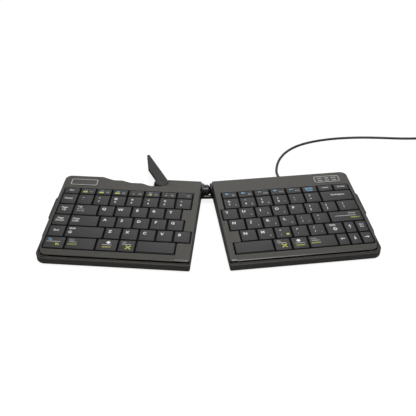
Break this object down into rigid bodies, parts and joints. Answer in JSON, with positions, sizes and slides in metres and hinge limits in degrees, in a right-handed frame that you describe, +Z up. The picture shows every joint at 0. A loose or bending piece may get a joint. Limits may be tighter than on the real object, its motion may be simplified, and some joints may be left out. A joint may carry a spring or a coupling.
{
  "type": "split keyboard",
  "caption": "Split travel keyboard whose wedge-shaped halves splay and tent on a ball hinge locked by a cam lever, with sprung keys, rubber feet and a coiled USB cord",
  "frame": {"origin": "middle of the keyboard's footprint at rest, on the desk, measured without the cord", "axes": "+X to the right across both halves, +Y to the rear where the hinge is, +Z up"},
  "size_m": [0.5043, 0.2616, 0.0219],
  "materials": {
    "case": "fine matt texture",
    "keys": "matt with printed legends",
    "lever": "matt",
    "inner_plastic": "smooth",
    "hinge_plastic": "satin",
    "domes": "matt",
    "feet": "matt",
    "steel": "plain",
    "plug_metal": "plated",
    "trim": "satin",
    "lens": "clear",
    "board": "lacquered",
    "cord": "matt",
    "tie": "woven"
  },
  "bodies": {
    "right_half": {"right_top_shell": "case", "right_bottom_shell": "case", "right_key_frame": "inner_plastic", "right_dome_sheet": "domes", "right_back_plate": "steel", "right_feet": "feet", "right_screws": "steel", "right_catch": "case", "indicator_panel": "trim", "indicator_lenses": "lens", "controller_board": "board", "hinge_tongue": "hinge_plastic", "cord_boot": "cord", "cord_free": "cord", "cord_coil": "cord", "cord_tail": "cord", "cord_tie": "tie", "usb_plug_grip": "cord", "usb_plug_shell": "plug_metal"},
    "hinge_ball": {"pivot_ball": "hinge_plastic", "pivot_pin": "steel"},
    "left_half": {"left_top_shell": "case", "left_bottom_shell": "case", "left_key_frame": "inner_plastic", "left_dome_sheet": "domes", "left_back_plate": "steel", "left_feet": "feet", "left_screws": "steel", "left_catch": "case", "badge_plate": "trim", "socket_barrel": "hinge_plastic", "matrix_board": "board", "link_cable": "cord"},
    "lever": {"lock_lever": "lever", "lever_screw": "steel", "clamp_cam": "inner_plastic"},
    "pusher": {"clamp_pusher": "inner_plastic"},
    "left_function_keys": {"left_function_keys": "keys"},
    "left_number_keys": {"left_number_keys": "keys"},
    "left_navigation_keys": {"left_navigation_keys": "keys"},
    "left_tab_key": {"left_tab_key": "keys"},
    "left_upper_keys": {"left_upper_keys": "keys"},
    "left_caps_key": {"left_caps_key": "keys"},
    "left_middle_keys": {"left_middle_keys": "keys"},
    "left_shift_key": {"left_shift_key": "keys"},
    "left_lower_keys": {"left_lower_keys": "keys"},
    "left_modifier_keys": {"left_modifier_keys": "keys"},
    "left_space_key": {"left_space_key": "keys"},
    "right_function_keys": {"right_function_keys": "keys"},
    "right_number_keys": {"right_number_keys": "keys"},
    "right_backspace_key": {"right_backspace_key": "keys"},
    "right_upper_keys": {"right_upper_keys": "keys"},
    "right_backslash_key": {"right_backslash_key": "keys"},
    "right_middle_keys": {"right_middle_keys": "keys"},
    "right_enter_key": {"right_enter_key": "keys"},
    "right_lower_keys": {"right_lower_keys": "keys"},
    "right_shift_key": {"right_shift_key": "keys"},
    "right_arrow_keys": {"right_arrow_keys": "keys"},
    "right_modifier_keys": {"right_modifier_keys": "keys"},
    "right_space_key": {"right_space_key": "keys"}
  },
  "joints": [
    {"name": "tent", "type": "hinge", "parent": "right_half", "child": "hinge_ball", "pos_m": [0, 0.03262, 0.0116], "axis": [0.108, -0.9942, 0], "range_deg": [0, 30]},
    {"name": "splay", "type": "hinge", "parent": "hinge_ball", "child": "left_half", "pos_m": [0, 0.03262, 0.0116], "axis": [0, 0, -1], "range_deg": [-12.4, 17.6], "deforming": ["link_cable"]},
    {"name": "lever_swing", "type": "hinge", "parent": "left_half", "child": "lever", "pos_m": [-0.05074, 0.04056, 0.01874], "axis": [-0.0057, -0.0529, 0.9986], "range_deg": [0, 58]},
    {"name": "clamp_slide", "type": "slide", "parent": "left_half", "child": "pusher", "axis": [0.9942, -0.108, 0], "range_m": [0, 0.0005]},
    {"name": "left_function_keys_press", "type": "slide", "parent": "left_half", "child": "left_function_keys", "axis": [0.0057, 0.0529, -0.9986], "range_m": [0, 0.002], "stiffness_N_per_m": 300, "springref_m": -0.002},
    {"name": "left_number_keys_press", "type": "slide", "parent": "left_half", "child": "left_number_keys", "axis": [0.0057, 0.0529, -0.9986], "range_m": [0, 0.002], "stiffness_N_per_m": 300, "springref_m": -0.002},
    {"name": "left_navigation_keys_press", "type": "slide", "parent": "left_half", "child": "left_navigation_keys", "axis": [0.0057, 0.0529, -0.9986], "range_m": [0, 0.002], "stiffness_N_per_m": 300, "springref_m": -0.002},
    {"name": "left_tab_key_press", "type": "slide", "parent": "left_half", "child": "left_tab_key", "axis": [0.0057, 0.0529, -0.9986], "range_m": [0, 0.002], "stiffness_N_per_m": 300, "springref_m": -0.002},
    {"name": "left_upper_keys_press", "type": "slide", "parent": "left_half", "child": "left_upper_keys", "axis": [0.0057, 0.0529, -0.9986], "range_m": [0, 0.002], "stiffness_N_per_m": 300, "springref_m": -0.002},
    {"name": "left_caps_key_press", "type": "slide", "parent": "left_half", "child": "left_caps_key", "axis": [0.0057, 0.0529, -0.9986], "range_m": [0, 0.002], "stiffness_N_per_m": 300, "springref_m": -0.002},
    {"name": "left_middle_keys_press", "type": "slide", "parent": "left_half", "child": "left_middle_keys", "axis": [0.0057, 0.0529, -0.9986], "range_m": [0, 0.002], "stiffness_N_per_m": 300, "springref_m": -0.002},
    {"name": "left_shift_key_press", "type": "slide", "parent": "left_half", "child": "left_shift_key", "axis": [0.0057, 0.0529, -0.9986], "range_m": [0, 0.002], "stiffness_N_per_m": 300, "springref_m": -0.002},
    {"name": "left_lower_keys_press", "type": "slide", "parent": "left_half", "child": "left_lower_keys", "axis": [0.0057, 0.0529, -0.9986], "range_m": [0, 0.002], "stiffness_N_per_m": 300, "springref_m": -0.002},
    {"name": "left_modifier_keys_press", "type": "slide", "parent": "left_half", "child": "left_modifier_keys", "axis": [0.0057, 0.0529, -0.9986], "range_m": [0, 0.002], "stiffness_N_per_m": 300, "springref_m": -0.002},
    {"name": "left_space_key_press", "type": "slide", "parent": "left_half", "child": "left_space_key", "axis": [0.0057, 0.0529, -0.9986], "range_m": [0, 0.002], "stiffness_N_per_m": 300, "springref_m": -0.002, "deforming": ["left_dome_sheet"]},
    {"name": "right_function_keys_press", "type": "slide", "parent": "right_half", "child": "right_function_keys", "axis": [-0.0057, 0.0529, -0.9986], "range_m": [0, 0.002], "stiffness_N_per_m": 300, "springref_m": -0.002},
    {"name": "right_number_keys_press", "type": "slide", "parent": "right_half", "child": "right_number_keys", "axis": [-0.0057, 0.0529, -0.9986], "range_m": [0, 0.002], "stiffness_N_per_m": 300, "springref_m": -0.002},
    {"name": "right_backspace_key_press", "type": "slide", "parent": "right_half", "child": "right_backspace_key", "axis": [-0.0057, 0.0529, -0.9986], "range_m": [0, 0.002], "stiffness_N_per_m": 300, "springref_m": -0.002},
    {"name": "right_upper_keys_press", "type": "slide", "parent": "right_half", "child": "right_upper_keys", "axis": [-0.0057, 0.0529, -0.9986], "range_m": [0, 0.002], "stiffness_N_per_m": 300, "springref_m": -0.002},
    {"name": "right_backslash_key_press", "type": "slide", "parent": "right_half", "child": "right_backslash_key", "axis": [-0.0057, 0.0529, -0.9986], "range_m": [0, 0.002], "stiffness_N_per_m": 300, "springref_m": -0.002},
    {"name": "right_middle_keys_press", "type": "slide", "parent": "right_half", "child": "right_middle_keys", "axis": [-0.0057, 0.0529, -0.9986], "range_m": [0, 0.002], "stiffness_N_per_m": 300, "springref_m": -0.002},
    {"name": "right_enter_key_press", "type": "slide", "parent": "right_half", "child": "right_enter_key", "axis": [-0.0057, 0.0529, -0.9986], "range_m": [0, 0.002], "stiffness_N_per_m": 300, "springref_m": -0.002},
    {"name": "right_lower_keys_press", "type": "slide", "parent": "right_half", "child": "right_lower_keys", "axis": [-0.0057, 0.0529, -0.9986], "range_m": [0, 0.002], "stiffness_N_per_m": 300, "springref_m": -0.002},
    {"name": "right_shift_key_press", "type": "slide", "parent": "right_half", "child": "right_shift_key", "axis": [-0.0057, 0.0529, -0.9986], "range_m": [0, 0.002], "stiffness_N_per_m": 300, "springref_m": -0.002},
    {"name": "right_arrow_keys_press", "type": "slide", "parent": "right_half", "child": "right_arrow_keys", "axis": [-0.0057, 0.0529, -0.9986], "range_m": [0, 0.002], "stiffness_N_per_m": 300, "springref_m": -0.002},
    {"name": "right_modifier_keys_press", "type": "slide", "parent": "right_half", "child": "right_modifier_keys", "axis": [-0.0057, 0.0529, -0.9986], "range_m": [0, 0.002], "stiffness_N_per_m": 300, "springref_m": -0.002},
    {"name": "right_space_key_press", "type": "slide", "parent": "right_half", "child": "right_space_key", "axis": [-0.0057, 0.0529, -0.9986], "range_m": [0, 0.002], "stiffness_N_per_m": 300, "springref_m": -0.002, "deforming": ["right_dome_sheet"]}
  ],
  "couplings": [
    {"joint": "clamp_slide", "follows": "lever_swing", "m_per_rad": 0.000479}
  ]
}
